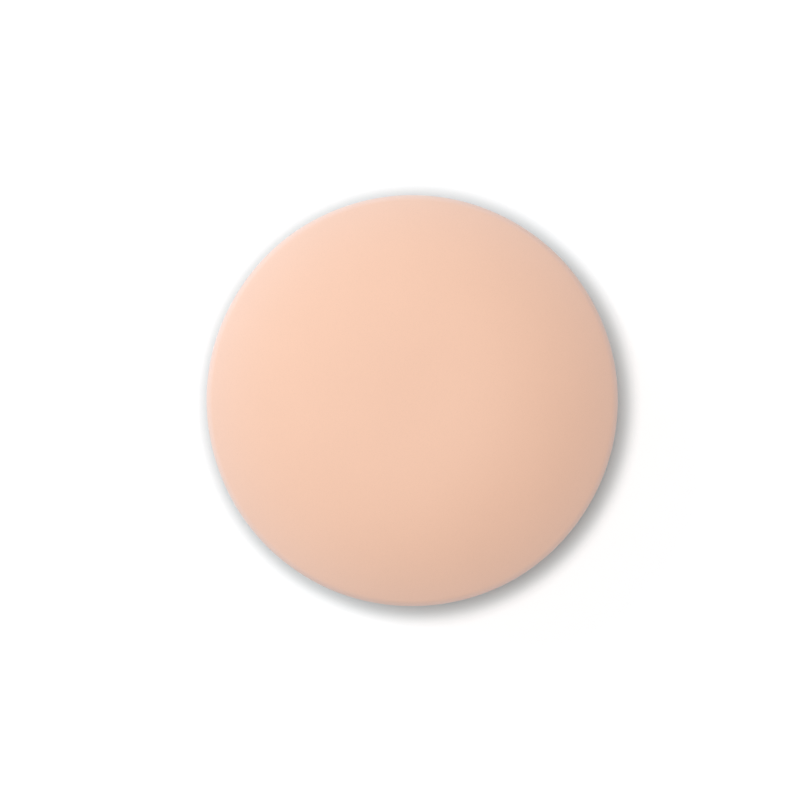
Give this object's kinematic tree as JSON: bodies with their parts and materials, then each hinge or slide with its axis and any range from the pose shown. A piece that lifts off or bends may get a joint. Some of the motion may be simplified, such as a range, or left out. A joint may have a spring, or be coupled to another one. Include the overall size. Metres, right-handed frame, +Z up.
{
  "type": "powder puff",
  "caption": "Round cushion powder puff: a shallow domed foam pad in a smooth wrapped skin, closed by a plain cloth back that carries a bowed satin finger ribbon.",
  "frame": {"origin": "on the surface that the puff rests on, under the middle of the puff, at the underside of the ribbon's flat stretch", "axes": "+Z up out of the face, X along the ribbon, Y across it, the way the fingers go in"},
  "size_m": [0.055, 0.055, 0.0144],
  "materials": {
    "puff_skin": "satin",
    "soft_foam": "matte",
    "barrier_film": "gloss",
    "core_foam": "matte",
    "back_cloth": "matte",
    "hot_melt_glue": "satin",
    "satin_ribbon": "satin"
  },
  "bodies": {
    "root": {"face_skin": "puff_skin", "face_foam": "soft_foam", "barrier_film": "barrier_film", "foam_core": "core_foam", "back_cover": "back_cloth", "hem_bond": "hot_melt_glue", "finger_ribbon": "satin_ribbon"}
  },
  "joints": []
}
